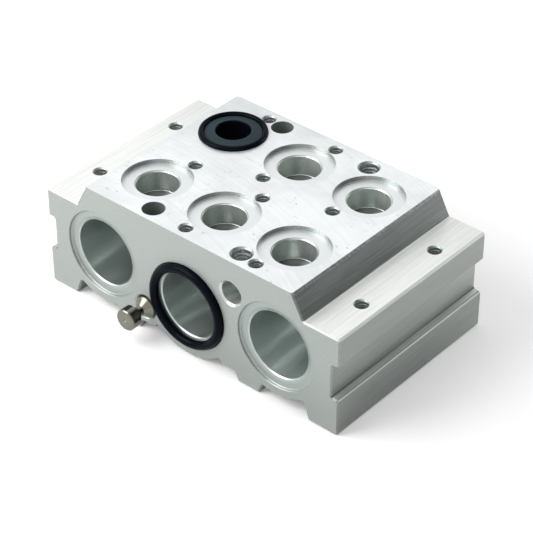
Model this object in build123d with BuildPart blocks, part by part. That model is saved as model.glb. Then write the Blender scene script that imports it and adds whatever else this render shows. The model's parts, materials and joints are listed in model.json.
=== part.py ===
"""Air manifold block: an extruded aluminium base for two valve stations, in millimetres.

Three bores run through the block from end to end and carry the air. Six deck ports, in two rows
of three, open down into them. Blocks are stacked end to end: tie pins hold the stack together and
round seals close the bores between blocks.

The origin is at the middle of the footprint, on the surface that the block stands on. X runs
across the bores, Y runs along them from the front end to the back end, and Z points up.
"""
import os
from math import isclose, sqrt

from build123d import *

# Block section
block_width = 100.0
block_height = 37.0
deck_width = 69.8
slope_run = 3.7
slope_foot_radius = 0.4
shelf_height = 30.1
flange_corner_radius = 0.9
side_groove_depth = 2.25
side_groove_top = 21.3
side_groove_foot = 11.5
side_groove_fall = 0.4
side_groove_radius = 0.6

# Underside of the section, from the middle boss out to the outer foot
middle_boss_radius = 16.2
middle_boss_reach = 10.7
middle_boss_run_out = 2.2
web_height = 2.65
web_width = 3.2
web_corner_radius = 0.4
small_foot_flare = 1.1
small_foot_gap = 1.2
outer_boss_radius = 15.4
outer_boss_inner_reach = 4.4
outer_foot_gap = 0.85
outer_foot_flare = 1.75
outer_foot_top_radius = 0.6
outer_foot_width = 9.4
foot_corner_radius = 0.5
boss_end_radius = 0.3

# Block length and the break of its end edges
block_length = 59.5
end_edge_break = 0.4

# Through bores, with a seal recess round each one on both ends
bore_radius = 9.65
outer_bore_height = 17.9
middle_bore_height = 15.6
bore_mouth_break = 0.3
end_recess_radius = 12.6
end_recess_depth = 0.9
end_recess_rim_break = 0.15
end_recess_corner_radius = 0.5
end_recess_side_room = 0.55

# Deck ports, two rows of three, each with a seal recess and a passage into the bore below
port_pitch = 23.35
station_pitch = 29.75
port_radius = 5.75
port_depth = 7.3
port_mouth_break = 0.35
port_drill_angle = 118.0
port_recess_radius = 9.55
port_recess_depth = 1.25
passage_radius = 3.0

# Valve screw holes, four tapped holes round each row of ports
valve_screw_shift = 3.0
valve_screw_reach = 11.3
valve_screw_depth = 9.5

# Shelf screw holes, two tapped holes on each shelf
shelf_screw_inset = 5.25
shelf_screw_depth = 8.5

# Tapped hole sizes: the drilled hole, and the countersink at its mouth
small_tap_radius = 1.65
small_tap_mouth_radius = 2.05
large_tap_radius = 2.5
large_tap_mouth_radius = 3.0

# Angle across the broken mouth of every hole
mouth_angle = 90.0

# Tie pin sockets in both ends, each with a lock hole that comes down to it from the deck
low_socket_height = 7.9
high_socket_height = 27.0
socket_clearance = 0.15
socket_mouth_break = 0.55
socket_end_room = 0.6
lock_hole_inset = 4.4
lock_access_radius = 3.1
lock_thread_length = 8.0

# Tie pin, a double ended spool that stands half out of the front end
pin_radius = 3.1
pin_stand = 7.8
pin_head_length = 3.0
pin_head_break = 0.3
pin_neck_radius = 1.4
pin_collar_length = 0.6
pin_mark_radius = 0.45

# Lock screw, a set screw whose cone point bears on the head of the tie pin
lock_screw_length = 6.0
lock_screw_clearance = 0.05
lock_screw_top_break = 0.4
lock_screw_key_width = 3.0
lock_screw_key_depth = 2.5
lock_screw_point_gap = 0.1

# Bore seal, a round section ring in the front recess of the middle bore
ring_section_radius = 1.25
ring_side_clearance = 0.1

# Port seal, a flange with a raised bead and a sleeve that lines the port
seal_side_clearance = 0.1
seal_edge_stand = 0.4
seal_bead_stand = 1.1
seal_bead_width = 1.5
seal_dish_stand = 0.25
seal_lip_stand = 0.8
seal_lip_radius = 0.5
seal_sleeve_wall = 0.95
seal_sleeve_clearance = 0.1
seal_sleeve_end_gap = 0.2

# Places worked out from the sizes above
front_y = pin_stand - (block_length + pin_stand) / 2
back_y = front_y + block_length
middle_y = (front_y + back_y) / 2
half_width = block_width / 2
half_length = block_length / 2
groove_wall = half_width - side_groove_depth

# The end recesses are spaced evenly across the block, with a little more room at its sides
bore_pitch = (groove_wall - end_recess_side_room + end_recess_radius) / 2
socket_x = bore_pitch / 2
socket_radius = pin_radius + socket_clearance
ring_radius = end_recess_radius - ring_side_clearance - ring_section_radius
seal_radius = port_recess_radius - seal_side_clearance
sleeve_radius = port_radius - seal_sleeve_clearance


def boss_place(centre, radius, across):
    """Give the place on the lower half of a round boss, at a distance across from its centre."""
    return (centre[0] + across, centre[1] - sqrt(radius**2 - across**2))


def on_ends(x, z, depth=0.0):
    """Give two locations that face out of the block, one at each end, sunk by depth."""
    return [
        Plane(origin=(x, front_y + depth, z), z_dir=(0, -1, 0)).location,
        Plane(origin=(x, back_y - depth, z), z_dir=(0, 1, 0)).location,
    ]


def on_top(height):
    """Give the middle of the block at a height, facing up."""
    return Location((0, middle_y, height))


def recess_circles():
    """Give the circles of the end recesses' walls, grouped from the front end to the back end."""
    circles = edges().filter_by(GeomType.CIRCLE)
    return circles.filter_by(lambda edge: isclose(edge.radius, end_recess_radius)).group_by(Axis.Y)


# Manifold block: the right half of its section is extruded from end to end and mirrored
bore_rows = ((-1, outer_bore_height), (0, middle_bore_height), (1, outer_bore_height))
web_inside = middle_boss_reach + middle_boss_run_out
web_outside = web_inside + web_width
small_foot_inside = web_outside + small_foot_flare
small_foot_outside = bore_pitch - outer_boss_inner_reach - small_foot_gap
outer_foot_inside = half_width - outer_foot_width
outer_foot_top = outer_foot_inside - outer_foot_flare
outer_boss_outer_reach = outer_foot_top - outer_foot_gap - bore_pitch
middle_boss_end = boss_place((0, middle_boss_radius), middle_boss_radius, middle_boss_reach)
outer_centre = (bore_pitch, outer_bore_height)
outer_boss_start = boss_place(outer_centre, outer_boss_radius, -outer_boss_inner_reach)
outer_boss_bottom = boss_place(outer_centre, outer_boss_radius, 0)
outer_boss_end = boss_place(outer_centre, outer_boss_radius, outer_boss_outer_reach)

with BuildPart() as manifold_block:
    with BuildSketch(Plane(origin=(0, front_y, 0), x_dir=(1, 0, 0), z_dir=(0, -1, 0))):
        with BuildLine():
            TangentArc((0, 0), middle_boss_end, tangent=(1, 0))
            TangentArc((web_inside, web_height), middle_boss_end, tangent=(-1, 0))
            FilletPolyline(
                (web_inside, web_height),
                (web_outside, web_height),
                (small_foot_inside, 0),
                (small_foot_outside, 0),
                outer_boss_start,
                radius=(web_corner_radius, foot_corner_radius, foot_corner_radius),
            )
            ThreePointArc(outer_boss_start, outer_boss_bottom, outer_boss_end)
            FilletPolyline(
                outer_boss_end,
                (outer_foot_top, outer_boss_end[1]),
                (outer_foot_inside, 0),
                (half_width, 0),
                (half_width, side_groove_foot - side_groove_fall),
                (groove_wall, side_groove_foot),
                (groove_wall, side_groove_top),
                (half_width, side_groove_top),
                (half_width, shelf_height),
                (deck_width / 2 + slope_run, shelf_height),
                (deck_width / 2, block_height),
                radius=(
                    outer_foot_top_radius,
                    foot_corner_radius,
                    flange_corner_radius,
                    flange_corner_radius,
                    side_groove_radius,
                    side_groove_radius,
                    flange_corner_radius,
                    flange_corner_radius,
                    slope_foot_radius,
                ),
            )
            Polyline((deck_width / 2, block_height), (0, block_height), (0, 0))
        make_face()
        boss_ends = (middle_boss_end, outer_boss_start, outer_boss_end)
        fillet([vertices().sort_by_distance(end)[0] for end in boss_ends], radius=boss_end_radius)
    extrude(amount=-block_length)

    # The outline of each end is broken all round, except along the milled deck
    front_face, *_, back_face = faces().sort_by(Axis.Y)
    deck_face = faces().sort_by(Axis.Z)[-1]
    middle_face = faces().sort_by(Axis.X)[0]
    outline = front_face.edges() + back_face.edges() - deck_face.edges() - middle_face.edges()
    chamfer(outline, length=end_edge_break)
    mirror(about=Plane.YZ)

    # Through bores with a broken mouth and a recess at each end
    for side, bore_height in bore_rows:
        with Locations(on_ends(side * bore_pitch, bore_height)):
            CounterBoreHole(bore_radius, end_recess_radius, end_recess_depth, half_length)
        with Locations(on_ends(side * bore_pitch, bore_height, end_recess_depth)):
            CounterSinkHole(
                bore_radius,
                bore_radius + bore_mouth_break,
                bore_mouth_break,
                counter_sink_angle=mouth_angle,
            )

    # The end recesses have round corners at their floors and broken rims
    _, front_floors, back_floors, _ = recess_circles()
    fillet(front_floors + back_floors, radius=end_recess_corner_radius)
    front_rims, *_, back_rims = recess_circles()
    chamfer(front_rims + back_rims, length=end_recess_rim_break)

    # Ports: a seal recess, a port with a broken mouth, and a passage down to the bore below it
    with Locations(on_top(block_height)):
        with GridLocations(port_pitch, station_pitch, 3, 2):
            CounterBoreHole(port_radius, port_recess_radius, port_recess_depth, port_depth)
    with Locations(on_top(block_height - port_recess_depth)):
        with GridLocations(port_pitch, station_pitch, 3, 2):
            CounterSinkHole(
                port_radius,
                port_radius + port_mouth_break,
                port_mouth_break,
                counter_sink_angle=mouth_angle,
            )
    for side, bore_height in bore_rows:
        with Locations(on_top(block_height - port_depth)):
            with Locations(
                (side * port_pitch, station_pitch / 2),
                (side * port_pitch, -station_pitch / 2),
            ):
                CounterSinkHole(
                    passage_radius,
                    port_radius,
                    block_height - port_depth - bore_height,
                    counter_sink_angle=port_drill_angle,
                )

    # Tapped holes for the valves, four round each row of ports, and for the shelves
    with Locations(on_top(block_height)):
        with GridLocations(0, station_pitch, 1, 2):
            with Locations(
                (valve_screw_shift - port_pitch, valve_screw_reach),
                (valve_screw_shift, valve_screw_reach),
                (-valve_screw_shift, -valve_screw_reach),
                (port_pitch - valve_screw_shift, -valve_screw_reach),
            ):
                CounterSinkHole(
                    small_tap_radius,
                    small_tap_mouth_radius,
                    valve_screw_depth,
                    counter_sink_angle=mouth_angle,
                )
    with Locations(on_top(shelf_height)):
        with GridLocations(block_width - 2 * shelf_screw_inset, station_pitch, 2, 2):
            CounterSinkHole(
                small_tap_radius,
                small_tap_mouth_radius,
                shelf_screw_depth,
                counter_sink_angle=mouth_angle,
            )

    # Tie pin sockets: a low one on the left and a high one on the right of each end
    for x, z in ((-socket_x, low_socket_height), (socket_x, high_socket_height)):
        with Locations(on_ends(x, z)):
            CounterSinkHole(
                socket_radius,
                socket_radius + socket_mouth_break,
                pin_stand + socket_end_room,
                counter_sink_angle=mouth_angle,
            )

    # Lock holes: the low sockets have a wide plain access hole above a short thread
    with Locations(on_top(block_height)):
        with Locations(
            (-socket_x, half_length - lock_hole_inset),
            (-socket_x, lock_hole_inset - half_length),
        ):
            CounterBoreHole(
                large_tap_radius,
                lock_access_radius,
                block_height - low_socket_height - socket_radius - lock_thread_length,
                block_height - low_socket_height,
            )
        with Locations(
            (socket_x, half_length - lock_hole_inset),
            (socket_x, lock_hole_inset - half_length),
        ):
            CounterSinkHole(
                large_tap_radius,
                large_tap_mouth_radius,
                block_height - high_socket_height,
                counter_sink_angle=mouth_angle,
            )

# Tie pin: one end's half profile, revolved about the pin's own axis and mirrored at the block face
pin_shoulder = pin_stand - pin_head_length
pin_neck_end = pin_shoulder - (pin_radius - pin_neck_radius)
pin_collar_end = pin_collar_length / 2
pin_front = Plane(origin=(-socket_x, front_y, low_socket_height), x_dir=(1, 0, 0), z_dir=(0, 0, 1))

with BuildPart() as tie_pin:
    with BuildSketch(pin_front):
        with BuildLine():
            Polyline(
                (0, 0),
                (pin_radius, 0),
                (pin_radius, pin_collar_end),
                (pin_neck_radius, pin_collar_end + pin_radius - pin_neck_radius),
                (pin_neck_radius, pin_neck_end),
                (pin_radius, pin_shoulder),
                (pin_radius, pin_stand - pin_head_break),
                (pin_radius - pin_head_break, pin_stand),
                (pin_mark_radius, pin_stand),
                (0, pin_stand - pin_mark_radius),
                close=True,
            )
        make_face()
    revolve(axis=Axis((-socket_x, front_y, low_socket_height), (0, 1, 0)))
    mirror(about=Plane.XZ.offset(-front_y))

# Lock screw: a cylinder with a cone point, a broken top edge and a hexagon socket for the key
lock_screw_radius = large_tap_radius - lock_screw_clearance
lock_y = front_y + lock_hole_inset
pin_face_z = low_socket_height + pin_radius - (pin_shoulder - lock_hole_inset)
lock_point_z = pin_face_z + lock_screw_point_gap
lock_screw_top = lock_point_z + lock_screw_length

with BuildPart() as pin_lock_screw:
    with BuildSketch(Plane(origin=(-socket_x, lock_y, 0), x_dir=(1, 0, 0), z_dir=(0, -1, 0))):
        with BuildLine():
            Polyline(
                (0, lock_point_z),
                (lock_screw_radius, lock_point_z + lock_screw_radius),
                (lock_screw_radius, lock_screw_top - lock_screw_top_break),
                (lock_screw_radius - lock_screw_top_break, lock_screw_top),
                (0, lock_screw_top),
                close=True,
            )
        make_face()
    revolve(axis=Axis((-socket_x, lock_y, 0), (0, 0, 1)))
    with BuildSketch(Plane(origin=(-socket_x, lock_y, lock_screw_top))):
        RegularPolygon(lock_screw_key_width / 2, 6, major_radius=False)
    extrude(amount=-lock_screw_key_depth, mode=Mode.SUBTRACT)

# Bore seal: a ring that rests on the recess floor and stands out of the front end
ring_y = front_y + end_recess_depth - ring_section_radius

with BuildPart() as bore_seal:
    with Locations(Plane(origin=(0, ring_y, middle_bore_height), z_dir=(0, -1, 0))):
        Torus(ring_radius, ring_section_radius)

# Port seal: a half profile in the back left port, revolved about the port's axis
seal_x = -port_pitch
seal_y = middle_y + station_pitch / 2
sleeve_inside = sleeve_radius - seal_sleeve_wall
bead_inside = seal_radius - seal_bead_width
bead_middle = seal_radius - seal_bead_width / 2
lip_inside = sleeve_inside + seal_lip_radius

with BuildPart() as port_seal:
    with BuildSketch(Plane(origin=(seal_x, seal_y, block_height), x_dir=(1, 0, 0), z_dir=(0, -1, 0))):
        with BuildLine():
            Polyline(
                (sleeve_inside, seal_lip_stand - seal_lip_radius),
                (sleeve_inside, seal_sleeve_end_gap - port_depth),
                (sleeve_radius, seal_sleeve_end_gap - port_depth),
                (sleeve_radius, -port_recess_depth),
                (seal_radius, -port_recess_depth),
                (seal_radius, seal_edge_stand),
            )
            ThreePointArc(
                (seal_radius, seal_edge_stand),
                (bead_middle, seal_bead_stand),
                (bead_inside, seal_dish_stand),
            )
            Line((bead_inside, seal_dish_stand), (lip_inside, seal_lip_stand))
            TangentArc(
                (sleeve_inside, seal_lip_stand - seal_lip_radius),
                (lip_inside, seal_lip_stand),
                tangent=(0, 1),
            )
        make_face()
    revolve(axis=Axis((seal_x, seal_y, 0), (0, 0, 1)))

# Write one file for each piece
pieces = {
    "manifold_block": manifold_block,
    "bore_seal": bore_seal,
    "port_seal": port_seal,
    "tie_pin": tie_pin,
    "pin_lock_screw": pin_lock_screw,
}
os.makedirs("parts", exist_ok=True)
for name, piece in pieces.items():
    piece.part.label = name
    export_step(piece.part, f"parts/{name}.step")
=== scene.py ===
"""The looks of the air manifold block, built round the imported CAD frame, in metres."""
import functools
import json
import math
from collections import namedtuple
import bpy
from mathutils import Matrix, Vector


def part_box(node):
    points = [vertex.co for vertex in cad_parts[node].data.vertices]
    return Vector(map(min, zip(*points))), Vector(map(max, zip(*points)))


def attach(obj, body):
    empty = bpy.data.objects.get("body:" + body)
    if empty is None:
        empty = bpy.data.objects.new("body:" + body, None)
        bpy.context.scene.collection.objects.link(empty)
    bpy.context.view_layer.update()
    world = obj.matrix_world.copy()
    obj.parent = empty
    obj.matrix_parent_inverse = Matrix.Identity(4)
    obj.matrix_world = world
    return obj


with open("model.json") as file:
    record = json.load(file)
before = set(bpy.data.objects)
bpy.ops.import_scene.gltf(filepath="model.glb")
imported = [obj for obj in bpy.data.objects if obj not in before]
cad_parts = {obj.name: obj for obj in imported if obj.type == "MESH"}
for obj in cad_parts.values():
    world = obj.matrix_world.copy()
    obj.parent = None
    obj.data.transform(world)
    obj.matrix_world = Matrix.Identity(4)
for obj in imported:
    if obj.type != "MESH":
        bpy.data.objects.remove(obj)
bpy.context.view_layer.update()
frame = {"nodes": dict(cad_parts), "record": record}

from types import SimpleNamespace

import bpy
from mathutils import Vector

MM = 0.001

# Places of the block's holes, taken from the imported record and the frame
record = frame["record"]
mounts = {mount["name"]: mount for mount in record["mounts"]}
openings = {opening["name"]: opening["box_m"] for opening in record["physics"]["openings"]}
block_low, block_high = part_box("manifold_block")


def opening_centre(name):
    """Give the middle of an opening that the record states."""
    low, high = openings[name]
    return (Vector(low) + Vector(high)) / 2


def mount_place(name):
    """Give the place of a mount that the record states."""
    return Vector(mounts[name]["pos_m"])


deck_z = mount_place("deck_face").z
shelf_z = mount_place("shelf_screws").z
left_bore = opening_centre("left_bore")
middle_bore = opening_centre("middle_bore")
front_port = opening_centre("front_right_port")
back_port = opening_centre("back_right_port")
high_socket = mount_place("front_high_socket")
low_socket = mount_place("tie_pin_head")
front_lock = mount_place("front_lock_thread")
back_lock = mount_place("back_lock_thread")
bore_pitch = middle_bore.x - left_bore.x
port_pitch = front_port.x - opening_centre("front_middle_port").x
station_pitch = back_port.y - front_port.y
ports_middle_y = (front_port.y + back_port.y) / 2
block_middle_y = (block_low.y + block_high.y) / 2
half_length = (block_high.y - block_low.y) / 2

# Radii and depths that tell the turned walls and floors from the faces round them
BORE_WALL_RADIUS = 9.85 * MM
BORE_MOUTH_RADII = (9.70 * MM, 9.75 * MM, 10.05 * MM, 10.15 * MM)
END_RECESS_RADIUS = 12.60 * MM
END_RECESS_DEPTH = 0.90 * MM
PORT_WALL_RADIUS = 6.00 * MM
PORT_RECESS_RADIUS = 9.50 * MM
PORT_RECESS_WALL = 8.00 * MM
PORT_RECESS_DEPTH = 1.25 * MM
PORT_DEPTH = 7.30 * MM
PASSAGE_TOP = 9.10 * MM
PASSAGE_RADIUS = 3.20 * MM
LOCK_HOLE_RADIUS = 3.12 * MM
SOCKET_RADIUS = 3.80 * MM
TAP_BREAK = 0.40 * MM

# Heights from a bore's axis between which its wall darkens towards the bottom, a painted shade
BORE_LOW_PART = (-7.0 * MM, -9.2 * MM)

# The side groove: its wall's distance from the middle, the heights of its top and foot, and how far
# its foot falls outwards; and the round of the long edges
GROOVE_WALL = 47.75 * MM
GROOVE_TOP = 21.30 * MM
GROOVE_FOOT = 11.50 * MM
GROOVE_FALL = 0.40 * MM
EDGE_ROUND = 0.90 * MM

# Width over which one finish gives way to the next
BLEND = 0.1 * MM

# Thin lines that follow the edges of the side groove, from the edge outwards
# Painted shade in the inner corner of the groove
CORNER_LINE = 0.36 * MM
# Painted highlight along the top edge of the lower flange
BRIGHT_LINE = 0.41 * MM
# Painted shade along the lower edge of the upper flange
FOOT_LINE = 0.25 * MM

# Parts of a normal along an axis that count as facing that way or downward, and upright parts of the
# normal on the deck's sloping flanks and on a rounded edge
FACING = (0.90, 0.98)
DOWNWARD = (-0.2, -0.4)
FLANK_FACING = (0.25, 0.35, 0.60, 0.70)
EDGE_FACING = (0.25, 0.45, 0.90, 0.98)

# Heights between which the sides darken towards the foot, a painted shade, and the worn top of the
# flanks
FOOT_TOP = 22 * MM
FOOT_DARKEST = 2 * MM
WORN_EDGE = 0.9 * MM

# The end faces darken towards their right foot, a painted shade, between these distances from the
# middle
RIGHT_START = -30 * MM
RIGHT_END = 20 * MM

# The deck darkens towards its far left corner, a painted dark reflection, and its cutter left arcs
# about a point off the block
FAR_START = 18 * MM
FAR_END = 50 * MM
FAR_LEAN = 0.5
ARC_CENTRE = Vector((-30 * MM, -130 * MM))

# Turned grooves: their pitch, and the noise and share of the uneven ones among them
TURNING_PITCH = 0.55 * MM
UNEVEN_TURNS = (1600, 3.0, 0.7)
UNEVEN_SHARE = 0.60

# The rounded edge between a bore and the recess round it
LIP_WIDTH = 1.0 * MM
LIP_DROP_MM = 0.35

# Streaks: how rough their noise is, and which part of its range they stretch to 0..1
STREAK_ROUGHNESS = 0.6
STREAK_RANGE = (0.32, 0.68)

# Scales of the noise in the aluminium, and how far its drawn lines run on before they change
DRAWN_SCALE = 2600
DRAWN_SLOWNESS = 0.02
GRAIN_SCALE = 2400
ARC_SCALE = 800
CLOUD_SCALE = 70
CLOUD_DETAIL = 4.0

# Shares of the cutter's arcs on the deck and of the grain on the ports' walls
ARC_SHARE = 0.35
GRAIN_SHARE = 0.5

# The flanks' worn top is ragged, and the deck has specks that keep together in patches
RAGGED_NOISE = (1100, 3.0, 0.7)
RAGGED_RANGE = (0.42, 0.60)
SPECK_SCALE = 900
SPECK_RANGE = (0.66, 0.70)
PATCH_SCALE = 60
PATCH_RANGE = (0.50, 0.60)

# Rubber: the upright parts of a normal in the seal's dish, the width of the bead round the dish,
# the noise of its dust and of its rings, and its gloss
DISH_FACING = (0.80, 0.95)
SEAL_BEAD_WIDTH = 1.6 * MM
DUST_NOISE = (260, 4.0, 0.7)
RING_NOISE = (2600, 2.0, 0.6)
RUBBER_GLOSS = 0.04

# Steel: the rings and stains of the pin, the share of the stains, and the grain of the black oxide
PIN_RING_SCALE = 2600
STAIN_NOISE = (500, 3.0)
STAIN_SHARE = 0.5
OXIDE_NOISE = (1800, 3.0)

# Camera: a long lens at the photograph's viewing angle
CAMERA_PLACE = Vector((0.28412, -0.32421, 0.33185))
CAMERA_TARGET = Vector((0.00678, -0.00250, 0.01850))
CAMERA_LENS_MM = 136.82

# Lamps: name, place, size, power and whether reflections see them
LAMPS = (
    ("key", (-0.18, -0.225, 0.255), 0.28, 1.15, True),
    ("top", (0.00, 0.00, 0.90), 1.30, 2.90, False),
    ("side", (0.14, 0.25, 0.030), 0.06, 0.30, True),
)

# How bright the world is as a light
WORLD_LIGHT = 0.35
WHITE = (1.0, 1.0, 1.0, 1.0)

# The floor: its reach from the middle, its two near whites and the scale of the patches that they
# make, and how much white it adds where it is seen
FLOOR_REACH = 3.0
FLOOR_SHADES = ((0.97, 0.97, 0.97), (0.99, 0.99, 0.99))
FLOOR_PATCH_SCALE = 3
FLOOR_ROUGHNESS = 0.9
FLOOR_LIFT = 0.18

# A dark card to the right of the block that only reflections see
CARD_PLACE = Vector((0.622, 0.226, 0.352))
CARD_REACH = 0.60
CARD_BLACK = (0.02, 0.02, 0.02, 1.0)
CARD_GREY = 0.12

# Sockets of the mix node: those of the two numbers, those of the two colours and the mixed colour's
MIX_NUMBERS = slice(2, 4)
MIX_COLOURS = slice(6, 8)
MIXED_COLOUR = 2


class Shader:
    """One node material with a Principled shader, and short calls that add linked nodes to it."""

    def __init__(self, name):
        self.material = bpy.data.materials.new(name)
        self.material.use_nodes = True
        self.tree = self.material.node_tree
        self.surface = self.tree.nodes["Principled BSDF"]
        self.place = self.node("ShaderNodeTexCoord").outputs

    def node(self, kind, **settings):
        """Add a node with the given settings."""
        node = self.tree.nodes.new(kind)
        for key, value in settings.items():
            setattr(node, key, value)
        return node

    def feed(self, socket, value):
        """Link a node output to a socket, or write a plain value on it."""
        if isinstance(value, bpy.types.NodeSocket):
            self.tree.links.new(value, socket)
        else:
            socket.default_value = value

    def math(self, operation, *values):
        """Work out one step of arithmetic."""
        node = self.node("ShaderNodeMath", operation=operation)
        for socket, value in zip(node.inputs, values):
            self.feed(socket, value)
        return node.outputs[0]

    def split(self, vector):
        """Give the three parts of a vector."""
        node = self.node("ShaderNodeSeparateXYZ")
        self.feed(node.inputs[0], vector)
        return node.outputs

    def join(self, x, y=0.0, z=0.0):
        """Make a vector of its parts."""
        node = self.node("ShaderNodeCombineXYZ")
        for socket, value in zip(node.inputs, (x, y, z)):
            self.feed(socket, value)
        return node.outputs[0]

    def distance(self, *parts):
        """Give the length of a vector with the given parts."""
        node = self.node("ShaderNodeVectorMath", operation="LENGTH")
        self.feed(node.inputs[0], self.join(*parts))
        return node.outputs["Value"]

    def ramp(self, value, start, end, low=0.0, high=1.0):
        """Map value from start..end to low..high, smoothly and with both ends held."""
        node = self.node("ShaderNodeMapRange", interpolation_type="SMOOTHSTEP")
        for socket, each in zip(node.inputs, (value, start, end, low, high)):
            self.feed(socket, each)
        return node.outputs[0]

    def within(self, value, limit):
        """Mark where value is under a limit."""
        return self.ramp(value, limit, limit - BLEND)

    def beyond(self, value, limit):
        """Mark where value is over a limit."""
        return self.ramp(value, limit, limit + BLEND)

    def band(self, value, start, full, fade, end):
        """Mark where value lies between two limits."""
        return self.math("SUBTRACT", self.ramp(value, start, full), self.ramp(value, fade, end))

    def every(self, *zones):
        """Mark where all the zones meet."""
        return functools.reduce(lambda one, other: self.math("MULTIPLY", one, other), zones)

    def either(self, *zones):
        """Mark where there is at least one of the zones."""
        return functools.reduce(lambda one, other: self.math("MAXIMUM", one, other), zones)

    def outside(self, zone):
        """Mark where a zone isn't."""
        return self.math("SUBTRACT", 1.0, zone)

    def noise(self, vector, scale, detail=2.0, roughness=0.5):
        """Give a noise that changes from place to place."""
        node = self.node("ShaderNodeTexNoise")
        self.feed(node.inputs["Vector"], vector)
        self.feed(node.inputs["Scale"], scale)
        self.feed(node.inputs["Detail"], detail)
        self.feed(node.inputs["Roughness"], roughness)
        return node.outputs["Fac"]

    def streaks(self, vector, scale, detail=3.0):
        """Give a noise that reaches 0 and 1."""
        return self.ramp(self.noise(vector, scale, detail, STREAK_ROUGHNESS), *STREAK_RANGE)

    def turns(self, along, step):
        """Give grooves a pitch apart, mixed with uneven ones that differ from hole to hole."""
        wave = self.math("SINE", self.math("MULTIPLY", along, math.tau / TURNING_PITCH))
        even = self.math("MULTIPLY_ADD", wave, 0.5, 0.5)
        uneven = self.noise(self.join(along, 0.0, step), *UNEVEN_TURNS)
        return self.mix(UNEVEN_SHARE, even, uneven)

    def mix(self, factor, first, second):
        """Mix two numbers."""
        node = self.node("ShaderNodeMix", data_type="FLOAT")
        self.feed(node.inputs[0], factor)
        for socket, value in zip(node.inputs[MIX_NUMBERS], (first, second)):
            self.feed(socket, value)
        return node.outputs[0]

    def colour(self, factor, first, second):
        """Mix two colours, each a node output or three linear numbers."""
        node = self.node("ShaderNodeMix", data_type="RGBA")
        self.feed(node.inputs[0], factor)
        for socket, value in zip(node.inputs[MIX_COLOURS], (first, second)):
            self.feed(socket, (*value, 1.0) if isinstance(value, tuple) else value)
        return node.outputs[MIXED_COLOUR]

    def bump(self, height):
        """Raise the surface by a height in millimetres."""
        node = self.node("ShaderNodeBump")
        self.feed(node.inputs["Height"], height)
        self.feed(node.inputs["Distance"], MM)
        self.set("Normal", node.outputs[0])

    def set(self, name, value):
        """Feed one of the shader's own sockets."""
        self.feed(self.surface.inputs[name], value)


# Tints: the linear red, green and blue of a surface at brightness 1
GREEN_GREY = (0.93, 1.00, 0.95)
DEEP_GREEN = (0.90, 1.00, 0.965)
WARM_WHITE = (0.985, 1.00, 0.975)
COOL_WHITE = (0.955, 0.99, 1.00)
NICKEL = (1.00, 0.95, 0.81)
BLUE_BLACK = (0.30, 0.58, 1.00)
BLUE_GREY = (0.56, 0.87, 1.00)
STEEL_GREY = (0.94, 0.94, 1.00)

# A finish: its pattern, its tint, the brightness and then the roughness at the pattern's two ends,
# how metallic it is, the height of its relief, and how far its grooves stretch a highlight
FIELDS = "pattern tint dark light smooth rough metal relief_mm stretch"
Finish = namedtuple("Finish", FIELDS, defaults=(0.0,))


def tone(shader, finish):
    """Give a finish's colour."""
    dark = tuple(finish.dark * part for part in finish.tint)
    light = tuple(finish.light * part for part in finish.tint)
    return shader.colour(finish.pattern, dark, light)


def paint(shader, finish, layers=(), lift=0.0):
    """Cover a surface with one finish, and then with each layer's finish where its zone says.

    The lift is a height in millimetres that is added to the relief of every finish.
    """
    colour = tone(shader, finish)
    roughness = shader.mix(finish.pattern, finish.smooth, finish.rough)
    relief = shader.math("MULTIPLY_ADD", finish.pattern, finish.relief_mm, lift)
    metal = finish.metal
    stretch = finish.stretch
    for zone, over in layers:
        colour = shader.colour(zone, colour, tone(shader, over))
        roughness = shader.mix(zone, roughness, shader.mix(over.pattern, over.smooth, over.rough))
        height = shader.math("MULTIPLY_ADD", over.pattern, over.relief_mm, lift)
        relief = shader.mix(zone, relief, height)
        if over.metal != metal:
            metal = shader.mix(zone, metal, over.metal)
        if over.stretch != stretch:
            stretch = shader.mix(zone, stretch, over.stretch)
    shader.set("Base Color", colour)
    shader.set("Roughness", roughness)
    shader.set("Metallic", metal)
    shader.set("Anisotropic", stretch)
    shader.bump(relief)


def nearest(shader, place, pitch):
    """Give the offset from the nearest of three lines a pitch apart, and the step of that line."""
    step = shader.math("ROUND", shader.math("DIVIDE", place, pitch))
    step = shader.math("MAXIMUM", shader.math("MINIMUM", step, 1.0), -1.0)
    return shader.math("SUBTRACT", place, shader.math("MULTIPLY", step, pitch)), step


def measure(shader):
    """Find where a point of the block lies, which way it faces and how far the holes are."""
    at = SimpleNamespace(place=shader.place["Object"])
    at.x, at.y, at.z = shader.split(at.place)
    _, normal_y, normal_z = shader.split(shader.place["Normal"])
    at.upward = shader.ramp(normal_z, *FACING)
    at.downward = shader.ramp(normal_z, *DOWNWARD)
    at.endward = shader.ramp(shader.math("ABSOLUTE", normal_y), *FACING)
    at.flankward = shader.band(normal_z, *FLANK_FACING)
    at.edgeward = shader.band(normal_z, *EDGE_FACING)
    from_centre = shader.math("ABSOLUTE", shader.math("SUBTRACT", at.y, block_middle_y))
    at.from_end = shader.math("SUBTRACT", half_length, from_centre)
    at.from_deck = shader.math("SUBTRACT", deck_z, at.z)

    at.bore_x, at.bore_step = nearest(shader, at.x, bore_pitch)
    bore_z = shader.mix(shader.math("ABSOLUTE", at.bore_step), middle_bore.z, left_bore.z)
    at.bore_up = shader.math("SUBTRACT", at.z, bore_z)
    at.bore_distance = shader.distance(at.bore_x, at.bore_up)

    at.port_x, at.port_step = nearest(shader, at.x, port_pitch)
    from_middle = shader.math("SUBTRACT", at.y, ports_middle_y)
    row = shader.math("SIGN", from_middle)
    row_y = shader.math("MULTIPLY", row, station_pitch / 2)
    at.port_y = shader.math("SUBTRACT", from_middle, row_y)
    at.port_distance = shader.distance(at.port_x, at.port_y)
    return at


def round_hole(shader, off_one, off_other, radius):
    """Mark the inside of a round hole from the two offsets from its axis."""
    return shader.within(shader.distance(off_one, off_other), radius)


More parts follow.
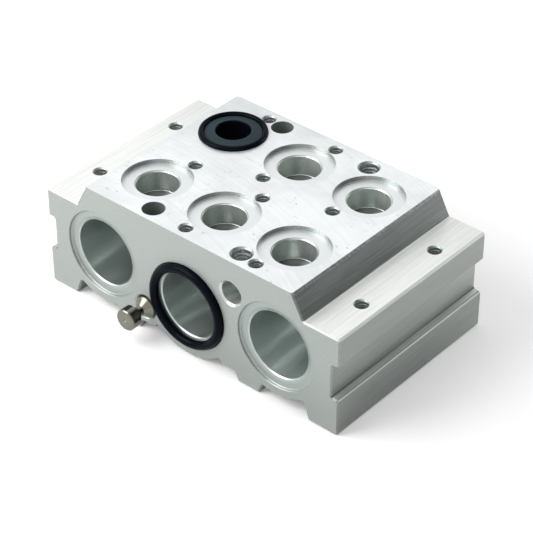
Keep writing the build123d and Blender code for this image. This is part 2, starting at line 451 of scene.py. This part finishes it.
def four_holes(shader, at, centre, spacing_x, spacing_y, radius):
    """Mark the inside of four like holes at the corners of a rectangle."""
    from_x = shader.math("ABSOLUTE", shader.math("SUBTRACT", at.x, centre.x))
    from_y = shader.math("ABSOLUTE", shader.math("SUBTRACT", at.y, centre.y))
    off_x = shader.math("SUBTRACT", from_x, spacing_x / 2)
    off_y = shader.math("SUBTRACT", from_y, spacing_y / 2)
    return round_hole(shader, off_x, off_y, radius)


def mark_sockets(shader, at):
    """Mark the inside of the sockets that run along the block."""
    marks = []
    for socket in (high_socket, low_socket):
        off_x = shader.math("SUBTRACT", at.x, socket.x)
        off_z = shader.math("SUBTRACT", at.z, socket.z)
        marks.append(round_hole(shader, off_x, off_z, SOCKET_RADIUS))
    return shader.either(*marks)


def mark_lock_holes(shader, at):
    """Mark the inside of the lock holes, which come down to the sockets from the deck."""
    middle = Vector((0, (front_lock.y + back_lock.y) / 2))
    spacing = 2 * front_lock.x, back_lock.y - front_lock.y
    return four_holes(shader, at, middle, *spacing, LOCK_HOLE_RADIUS)


def mark_drilled(shader, at):
    """Mark the inside of the tapped holes, the lock holes and the passages under the ports."""
    marks = [mark_lock_holes(shader, at)]
    for name in ("valve_screws_rear", "valve_screws_front", "shelf_screws"):
        size = mounts[name]["dims"]
        spacing = size["spacing_x_mm"] * MM, size["spacing_y_mm"] * MM
        radius = size["hole_r_mm"] * MM + TAP_BREAK
        marks.append(four_holes(shader, at, mount_place(name), *spacing, radius))
    deep = shader.beyond(at.from_deck, PASSAGE_TOP - BLEND)
    marks.append(shader.every(shader.within(at.port_distance, PASSAGE_RADIUS), deep))
    return shader.every(shader.either(*marks), shader.outside(at.downward))


def edge_line(shader, side, z, edge_side, edge_z, reach):
    """Mark a thin line along an edge that runs the length of the block."""
    off_side = shader.math("SUBTRACT", side, edge_side)
    return round_hole(shader, off_side, shader.math("SUBTRACT", z, edge_z), reach)


def mark_faces(shader, at):
    """Mark the outer faces by the way they were made, and the zones where light and shade are
    painted on them.
    """
    marks = SimpleNamespace()
    # Painted shade: the sides darken towards the foot
    marks.foot = shader.ramp(at.z, FOOT_TOP, FOOT_DARKEST)
    toward_back = shader.ramp(at.y, block_middle_y, block_high.y)
    # Painted light: towards the back the sides are lighter, below the groove's top and at the foot
    marks.far_low = shader.every(shader.within(at.z, GROOVE_TOP), toward_back)
    marks.far_foot = shader.every(marks.foot, toward_back)
    side = shader.math("ABSOLUTE", at.x)
    low = shader.within(at.z, GROOVE_FOOT + BLEND)
    # Painted light: the upward foot of the side groove is lighter than the sides
    marks.groove_foot = shader.every(at.upward, low, shader.beyond(side, GROOVE_WALL))
    # Painted shade: a dark line in the inner corner of the groove
    marks.groove_corner = edge_line(shader, side, at.z, GROOVE_WALL, GROOVE_FOOT, CORNER_LINE)
    flange_z = GROOVE_FOOT - GROOVE_FALL
    # Painted highlight: a bright line along the top edge of the lower flange
    marks.flange_top = edge_line(shader, side, at.z, block_high.x, flange_z, BRIGHT_LINE)
    # Painted shade: a dark line along the lower edge of the upper flange
    marks.flange_foot = edge_line(shader, side, at.z, block_high.x, GROOVE_TOP, FOOT_LINE)
    # Painted dark reflection: the deck's sloping flanks are much darker than the sides
    marks.flank = shader.every(at.flankward, shader.within(at.from_deck, deck_z - shelf_z))
    uneven = shader.noise(shader.join(0.0, at.y, at.z), *RAGGED_NOISE)
    ragged = shader.ramp(uneven, *RAGGED_RANGE)
    marks.worn = shader.every(marks.flank, shader.within(at.from_deck, WORN_EDGE), ragged)
    round_foot = shelf_z - EDGE_ROUND
    round_part = shader.band(at.z, round_foot - BLEND, round_foot, shelf_z, shelf_z + BLEND)
    marks.shelf_edge = shader.every(at.edgeward, round_part)
    marks.shelf = shader.every(at.upward, shader.within(at.from_deck, deck_z - shelf_z + BLEND))
    # Painted shade: the shelf darkens towards the back
    marks.far_shelf = shader.every(marks.shelf, toward_back)
    marks.deck = shader.every(at.upward, shader.within(at.from_deck, PORT_RECESS_DEPTH + 2 * BLEND))
    # Painted dark reflection: the deck darkens towards its far left corner
    lean = shader.math("SUBTRACT", at.y, shader.math("MULTIPLY", at.x, FAR_LEAN))
    marks.far_deck = shader.every(marks.deck, shader.ramp(lean, FAR_START, FAR_END))
    small = shader.ramp(shader.noise(at.place, SPECK_SCALE), *SPECK_RANGE)
    patchy = shader.ramp(shader.noise(at.place, PATCH_SCALE), *PATCH_RANGE)
    marks.specks = shader.every(marks.deck, small, patchy)
    marks.end = shader.every(at.endward, shader.within(at.from_end, END_RECESS_DEPTH + 2 * BLEND))
    # Painted shade: the end faces darken towards their right foot
    marks.end_foot = shader.every(marks.end, marks.foot, shader.ramp(at.x, RIGHT_START, RIGHT_END))
    return marks


def mark_ports(shader, at, deck):
    """Mark the recess round each port, the port's wall and the point of its drill."""
    marks = SimpleNamespace()
    marks.floor = shader.every(deck, shader.within(at.port_distance, PORT_RECESS_RADIUS))
    side = shader.every(shader.outside(at.upward), shader.within(at.from_deck, PORT_RECESS_DEPTH))
    outer = shader.within(at.port_distance, PORT_RECESS_RADIUS + 2 * BLEND)
    # Painted shade: the walls of the recesses round the ports are dark
    marks.rim = shader.every(side, outer, shader.beyond(at.port_distance, PORT_RECESS_WALL))
    inner = shader.within(at.port_distance, PORT_WALL_RADIUS)
    deep = shader.within(at.from_deck, PORT_RECESS_DEPTH + BLEND)
    high = shader.within(at.from_deck, PASSAGE_TOP)
    marks.wall = shader.every(inner, high, shader.outside(deep))
    # Painted light: the walls of the back row of ports are lighter
    marks.far_wall = shader.every(marks.wall, shader.beyond(at.y, ports_middle_y))
    # Painted shade: the drill point at the bottom of each port is dark
    marks.point = shader.every(marks.wall, shader.beyond(at.from_deck, PORT_DEPTH))
    return marks


def mark_bores(shader, at, end):
    """Mark the recess round each bore's mouth, the broken edge of the mouth and the bore's wall."""
    marks = SimpleNamespace()
    marks.wall = shader.within(at.bore_distance, BORE_WALL_RADIUS)
    # Painted shade: each bore's wall darkens towards the bottom
    marks.low_wall = shader.every(marks.wall, shader.ramp(at.bore_up, *BORE_LOW_PART))
    # Painted light: the right bore's wall is lighter than the others
    marks.bright_wall = shader.every(marks.wall, shader.ramp(at.bore_step, 0.0, 1.0))
    marks.floor = shader.every(end, shader.beyond(at.from_end, END_RECESS_DEPTH - 2 * BLEND))
    shallow = shader.within(at.from_end, END_RECESS_DEPTH + BLEND)
    side = shader.every(shader.outside(at.endward), shallow)
    marks.rim = shader.every(side, shader.within(at.bore_distance, END_RECESS_RADIUS + 2 * BLEND))
    near = shader.within(at.from_end, END_RECESS_DEPTH + 4 * BLEND)
    ring = shader.band(at.bore_distance, *BORE_MOUTH_RADII)
    marks.mouth = shader.every(shader.outside(at.endward), near, ring)
    return marks


def make_aluminium():
    """Aluminium whose finish follows how each face was made: drawn, milled, drilled or turned, and
    which carries painted light and shade.
    """
    shader = Shader("block_aluminium")
    at = measure(shader)
    face = mark_faces(shader, at)
    port = mark_ports(shader, at, face.deck)
    bore = mark_bores(shader, at, face.end)
    drilled = mark_drilled(shader, at)
    socket = mark_sockets(shader, at)

    # Patterns that the tools left
    slow_y = shader.math("MULTIPLY", at.y, DRAWN_SLOWNESS)
    lines = shader.streaks(shader.join(at.x, slow_y, at.z), DRAWN_SCALE)
    grain = shader.streaks(at.place, GRAIN_SCALE)
    arc_x = shader.math("SUBTRACT", at.x, ARC_CENTRE.x)
    arc_y = shader.math("SUBTRACT", at.y, ARC_CENTRE.y)
    arcs = shader.streaks(shader.join(shader.distance(arc_x, arc_y)), ARC_SCALE)
    clouds = shader.streaks(at.place, CLOUD_SCALE, CLOUD_DETAIL)
    milled = shader.mix(ARC_SHARE, clouds, arcs)
    bored = shader.turns(shader.math("ADD", at.y, at.bore_distance), at.bore_step)
    turned = shader.turns(shader.math("SUBTRACT", at.z, at.port_distance), at.port_step)
    pitted = shader.mix(GRAIN_SHARE, turned, grain)

    # The finishes and the painted light and shade, with later ones over earlier ones
    # The drawn sides are darker than the milled top partly by their duller finish and partly by
    # painted shade
    drawn_finish = Finish(lines, GREEN_GREY, 0.33, 0.39, 0.38, 0.50, 0.60, 0.02)
    layers = (
        # Painted light towards the back, below the groove's top
        (face.far_low, Finish(lines, GREEN_GREY, 0.44, 0.50, 0.38, 0.50, 0.60, 0.02)),
        # Painted shade darkening the sides towards the foot
        (face.foot, Finish(lines, GREEN_GREY, 0.195, 0.25, 0.36, 0.46, 0.60, 0.02)),
        # Painted light towards the back, easing the painted shade at the foot
        (face.far_foot, Finish(lines, GREEN_GREY, 0.29, 0.36, 0.36, 0.46, 0.60, 0.02)),
        # Painted light on the foot of the side groove
        (face.groove_foot, Finish(lines, GREEN_GREY, 0.56, 0.66, 0.36, 0.46, 0.60, 0.02)),
        # Painted shade in the inner corner of the groove
        (face.groove_corner, Finish(lines, GREEN_GREY, 0.11, 0.15, 0.36, 0.46, 0.60, 0.02)),
        # Painted highlight along the top edge of the lower flange
        (face.flange_top, Finish(lines, WARM_WHITE, 0.52, 0.64, 0.40, 0.50, 0.20, 0.02)),
        (face.flange_foot, Finish(lines, GREEN_GREY, 0.14, 0.20, 0.36, 0.46, 0.60, 0.02)),
        # Painted shade along the lower edge of the upper flange
        (face.flank, Finish(lines, DEEP_GREEN, 0.170, 0.225, 0.30, 0.38, 0.50, 0.02)),
        # Painted dark reflection on the sloping flanks
        (face.worn, Finish(lines, GREEN_GREY, 0.26, 0.36, 0.30, 0.40, 0.60, 0.02)),
        (face.shelf_edge, Finish(lines, COOL_WHITE, 0.66, 0.76, 0.45, 0.55, 0.10, 0.02)),
        (face.shelf, Finish(lines, WARM_WHITE, 0.85, 0.975, 0.30, 0.42, 0.60, 0.02)),
        # Painted shade towards the back of the shelf
        (face.far_shelf, Finish(lines, WARM_WHITE, 0.755, 0.87, 0.30, 0.42, 0.60, 0.02)),
        (face.deck, Finish(milled, COOL_WHITE, 0.81, 0.985, 0.28, 0.40, 0.60, 0.01)),
        (face.specks, Finish(grain, COOL_WHITE, 0.51, 0.63, 0.28, 0.40, 0.60, 0.01)),
        # Painted dark reflection towards the deck's far left corner
        (face.far_deck, Finish(milled, COOL_WHITE, 0.63, 0.80, 0.28, 0.40, 0.60, 0.01)),
        # Painted shade on the walls of the recesses round the ports
        (port.rim, Finish(grain, GREEN_GREY, 0.30, 0.40, 0.20, 0.28, 0.85, 0.01)),
        (port.floor, Finish(turned, COOL_WHITE, 0.79, 0.90, 0.34, 0.42, 0.80, 0.01, 0.40)),
        # The end faces are darker than the milled top partly by their finish and partly by painted
        # shade
        (face.end, Finish(grain, GREEN_GREY, 0.38, 0.44, 0.38, 0.50, 0.60, 0.01)),
        # Painted shade towards the right foot of the end faces
        (face.end_foot, Finish(grain, GREEN_GREY, 0.33, 0.38, 0.38, 0.50, 0.60, 0.01)),
        (bore.rim, Finish(grain, GREEN_GREY, 0.34, 0.42, 0.30, 0.40, 0.60, 0.01)),
        (bore.floor, Finish(bored, DEEP_GREEN, 0.37, 0.44, 0.28, 0.38, 0.80, 0.02, 0.40)),
        (port.wall, Finish(pitted, GREEN_GREY, 0.65, 0.84, 0.26, 0.36, 0.88, 0.03, 0.80)),
        # Painted light on the walls of the back row of ports
        (port.far_wall, Finish(pitted, GREEN_GREY, 0.79, 0.99, 0.26, 0.36, 0.88, 0.03, 0.80)),
        # Painted shade on the drill point at the bottom of each port
        (port.point, Finish(turned, GREEN_GREY, 0.08, 0.145, 0.24, 0.34, 0.85, 0.02, 0.60)),
        (drilled, Finish(grain, DEEP_GREEN, 0.34, 0.48, 0.28, 0.40, 0.80, 0.03)),
        (socket, Finish(bored, GREEN_GREY, 0.62, 0.72, 0.30, 0.40, 0.85, 0.01, 0.60)),
        (bore.wall, Finish(bored, DEEP_GREEN, 0.53, 0.61, 0.28, 0.36, 0.86, 0.028, 0.80)),
        # Painted shade towards the bottom of the bores
        (bore.low_wall, Finish(bored, DEEP_GREEN, 0.40, 0.46, 0.28, 0.36, 0.86, 0.028, 0.80)),
        # Painted light on the right bore's wall
        (bore.bright_wall, Finish(bored, DEEP_GREEN, 0.59, 0.67, 0.26, 0.34, 0.86, 0.028, 0.80)),
        (bore.mouth, Finish(grain, GREEN_GREY, 0.55, 0.65, 0.30, 0.38, 0.70, 0.01)),
    )
    lip_end = BORE_WALL_RADIUS + LIP_WIDTH
    lip = shader.ramp(at.bore_distance, BORE_WALL_RADIUS, lip_end, -LIP_DROP_MM, 0.0)
    paint(shader, drawn_finish, layers, shader.every(bore.floor, lip))

    # Direction across the turned grooves: outward on a floor and along the hole on its wall
    along_block = shader.either(bore.wall, bore.floor, socket)
    across_x = shader.mix(along_block, at.port_x, at.bore_x)
    across_y = shader.mix(along_block, at.port_y, half_length)
    across_z = shader.mix(along_block, half_length, at.bore_up)
    shader.set("Tangent", shader.join(across_x, across_y, across_z))
    return shader.material


def make_rubber():
    """Black moulded rubber, glossy on the beads and matt grey in the dish of the port seal."""
    shader = Shader("seal_rubber")
    place = shader.place["Object"]
    x, y, _ = shader.split(place)
    _, _, normal_z = shader.split(shader.place["Normal"])
    low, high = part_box("port_seal")
    middle = (low + high) / 2
    off_x = shader.math("SUBTRACT", x, middle.x)
    off_y = shader.math("SUBTRACT", y, middle.y)
    radius = shader.distance(off_x, off_y)
    dish_radius = (high.x - low.x) / 2 - SEAL_BEAD_WIDTH
    dish = shader.every(shader.ramp(normal_z, *DISH_FACING), shader.within(radius, dish_radius))
    dust = shader.noise(place, *DUST_NOISE)
    rings = shader.noise(shader.join(radius), *RING_NOISE)
    bead_finish = Finish(dust, BLUE_BLACK, 0.004, 0.010, 0.16, 0.30, 0.0, 0.01)
    dish_finish = Finish(rings, BLUE_GREY, 0.047, 0.075, 0.40, 0.55, 0.0, 0.03)
    paint(shader, bead_finish, ((dish, dish_finish),))
    shader.set("Specular IOR Level", RUBBER_GLOSS)
    return shader.material


def make_nickel():
    """Turned steel with a warm nickel plate, its rings round the pin's axis."""
    shader = Shader("pin_steel")
    place = shader.place["Object"]
    x, y, z = shader.split(place)
    low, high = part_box("tie_pin")
    middle = (low + high) / 2
    off_x = shader.math("SUBTRACT", x, middle.x)
    off_z = shader.math("SUBTRACT", z, middle.z)
    radius = shader.distance(off_x, off_z)
    rings = shader.streaks(shader.join(shader.math("ADD", radius, y)), PIN_RING_SCALE)
    stained = shader.mix(STAIN_SHARE, rings, shader.noise(place, *STAIN_NOISE))
    paint(shader, Finish(stained, NICKEL, 0.15, 0.27, 0.10, 0.22, 1.0, 0.03))
    return shader.material


def make_black_steel():
    """Steel with a black oxide skin."""
    shader = Shader("screw_steel")
    grain = shader.noise(shader.place["Object"], *OXIDE_NOISE)
    paint(shader, Finish(grain, STEEL_GREY, 0.032, 0.075, 0.35, 0.50, 0.80, 0.01))
    return shader.material


def dress(node, material):
    """Give a CAD node's object one material."""
    for slot in frame["nodes"][node].material_slots:
        slot.link = "OBJECT"
        slot.material = material


# Threads: the pitch and height of the ridge, and how far below a hole's mouth it starts
Thread = namedtuple("Thread", "pitch ridge mouth")
SMALL_THREAD = Thread(0.7 * MM, 0.15 * MM, 0.45 * MM)
LARGE_THREAD = Thread(1.0 * MM, 0.24 * MM, 0.10 * MM)
SMALL_THREAD_LENGTH = 7.0 * MM

# Steps in a turn, corners in the ridge's section, half the ridge's width as a share of the pitch,
# and the share of its height that it starts and ends with
TURN_STEPS = 40
SECTION_CORNERS = 3
RIDGE_HALF_WIDTH = 0.46
RUN_OUT = 0.02

# Threads at the foot of the low lock holes, the front one ending above the lock screw
LOW_THREAD_TOP = 18.65 * MM
LOW_THREAD_LENGTHS = {"front": 1.4 * MM, "back": 7.0 * MM}


def make_thread(name, top, radius, length, thread, material):
    """Build the ridge of a thread that winds down a hole from the point top, as a closed strip."""
    steps = round(length / thread.pitch * TURN_STEPS)
    corners = []
    for step in range(steps + 1):
        turns = step / TURN_STEPS
        height = min(1.0, turns + RUN_OUT, (steps - step) / TURN_STEPS + RUN_OUT)
        crest = radius - thread.ridge * height
        angle = turns * math.tau
        for reach, lift in ((radius, RIDGE_HALF_WIDTH), (crest, 0.0), (radius, -RIDGE_HALF_WIDTH)):
            rise = (lift - turns) * thread.pitch
            corners.append(top + Vector((reach * math.cos(angle), reach * math.sin(angle), rise)))
    faces = []
    for step in range(steps):
        low = step * SECTION_CORNERS
        high = low + SECTION_CORNERS
        for side in range(SECTION_CORNERS):
            other = (side + 1) % SECTION_CORNERS
            faces.append((low + side, low + other, high + other, high + side))
    first_end = range(SECTION_CORNERS)
    last_end = range(steps * SECTION_CORNERS, (steps + 1) * SECTION_CORNERS)
    faces.append(tuple(reversed(first_end)))
    faces.append(tuple(last_end))
    mesh = bpy.data.meshes.new(name)
    mesh.from_pydata(corners, [], faces)
    mesh.materials.append(material)
    piece = bpy.data.objects.new(name, mesh)
    bpy.context.scene.collection.objects.link(piece)
    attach(piece, "root")


def make_threads(material):
    """Thread the block's tapped holes."""
    for name in ("valve_screws_rear", "valve_screws_front", "shelf_screws"):
        size = mounts[name]["dims"]
        radius = size["hole_r_mm"] * MM
        reach_x = size["spacing_x_mm"] * MM / 2
        reach_y = size["spacing_y_mm"] * MM / 2
        corners = [(side_x * reach_x, side_y * reach_y) for side_x in (-1, 1) for side_y in (-1, 1)]
        for number, corner in enumerate(corners, 1):
            top = mount_place(name) + Vector((*corner, -SMALL_THREAD.mouth))
            piece = f"{name}_thread_{number}"
            make_thread(piece, top, radius, SMALL_THREAD_LENGTH, SMALL_THREAD, material)
    for end, lock in (("front", front_lock), ("back", back_lock)):
        size = mounts[f"{end}_lock_thread"]["dims"]
        radius = size["r_mm"] * MM
        length = size["length_mm"] * MM
        top = lock + Vector((0, 0, length / 2 - LARGE_THREAD.mouth))
        length -= LARGE_THREAD.mouth + LARGE_THREAD.pitch
        make_thread(f"{end}_high_lock_ridge", top, radius, length, LARGE_THREAD, material)
        top = Vector((low_socket.x, lock.y, LOW_THREAD_TOP))
        length = LOW_THREAD_LENGTHS[end]
        make_thread(f"{end}_low_lock_ridge", top, radius, length, LARGE_THREAD, material)


def make_camera():
    """Set up the camera that looks at the block as the photograph does."""
    data = bpy.data.cameras.new("camera")
    data.lens = CAMERA_LENS_MM
    camera = bpy.data.objects.new("camera", data)
    camera.location = CAMERA_PLACE
    camera.rotation_euler = (CAMERA_TARGET - CAMERA_PLACE).to_track_quat("-Z", "Y").to_euler()
    bpy.context.scene.collection.objects.link(camera)
    bpy.context.scene.camera = camera


def make_light(name, place, size, power, mirrored):
    """Hang a soft square lamp that faces the block."""
    data = bpy.data.lights.new(name, "AREA")
    data.energy = power
    data.size = size
    light = bpy.data.objects.new(name, data)
    light.location = place
    light.rotation_euler = (-Vector(place)).to_track_quat("-Z", "Y").to_euler()
    light.visible_camera = False
    light.visible_glossy = mirrored
    bpy.context.scene.collection.objects.link(light)


def shown(tree):
    """Give 1 for rays from the camera, a reflection or a clear piece, and 0 for light."""
    path = tree.nodes.new("ShaderNodeLightPath")
    seen = path.outputs["Is Camera Ray"]
    for name in ("Is Glossy Ray", "Is Transmission Ray"):
        either = tree.nodes.new("ShaderNodeMath")
        either.operation = "MAXIMUM"
        tree.links.new(seen, either.inputs[0])
        tree.links.new(path.outputs[name], either.inputs[1])
        seen = either.outputs[0]
    return seen


def make_sheet(shader, reach):
    """Add a flat square of the given reach from its middle, as part of the stage."""
    mesh = bpy.data.meshes.new(shader.material.name)
    corners = [(-reach, -reach, 0), (reach, -reach, 0), (reach, reach, 0), (-reach, reach, 0)]
    mesh.from_pydata(corners, [], [(0, 1, 2, 3)])
    mesh.materials.append(shader.material)
    sheet = bpy.data.objects.new(shader.material.name, mesh)
    bpy.context.scene.collection.objects.link(sheet)
    return sheet


def make_floor():
    """Lay a pale floor that keeps the block's shadow."""
    shader = Shader("floor")
    patches = shader.noise(shader.place["Object"], FLOOR_PATCH_SCALE)
    shader.set("Base Color", shader.colour(patches, *FLOOR_SHADES))
    shader.set("Roughness", FLOOR_ROUGHNESS)
    shader.set("Emission Color", WHITE)
    shader.set("Emission Strength", shader.math("MULTIPLY", shown(shader.tree), FLOOR_LIFT))
    make_sheet(shader, FLOOR_REACH)


def make_card():
    """Stand the dark card beside the block, facing it."""
    shader = Shader("card")
    shader.set("Base Color", CARD_BLACK)
    shader.set("Emission Color", WHITE)
    shader.set("Emission Strength", CARD_GREY)
    card = make_sheet(shader, CARD_REACH)
    card.location = CARD_PLACE
    card.rotation_euler = (-CARD_PLACE).to_track_quat("-Z", "Y").to_euler()
    card.visible_camera = False
    card.visible_diffuse = False
    card.visible_shadow = False


def make_world():
    """White where the camera, a reflection or a clear piece shows it, and softer as a light."""
    world = bpy.data.worlds.new("world")
    world.use_nodes = True
    tree = world.node_tree
    strength = tree.nodes.new("ShaderNodeMapRange")
    strength.inputs["To Min"].default_value = WORLD_LIGHT
    strength.inputs["To Max"].default_value = 1.0
    tree.links.new(shown(tree), strength.inputs["Value"])
    background = tree.nodes["Background"]
    background.inputs["Color"].default_value = WHITE
    tree.links.new(strength.outputs[0], background.inputs["Strength"])
    bpy.context.scene.world = world


aluminium = make_aluminium()
rubber = make_rubber()
dress("manifold_block", aluminium)
dress("bore_seal", rubber)
dress("port_seal", rubber)
dress("tie_pin", make_nickel())
dress("pin_lock_screw", make_black_steel())
make_threads(aluminium)
make_camera()
make_floor()
make_card()
for lamp in LAMPS:
    make_light(*lamp)
make_world()
bpy.context.scene.view_settings.view_transform = "Standard"
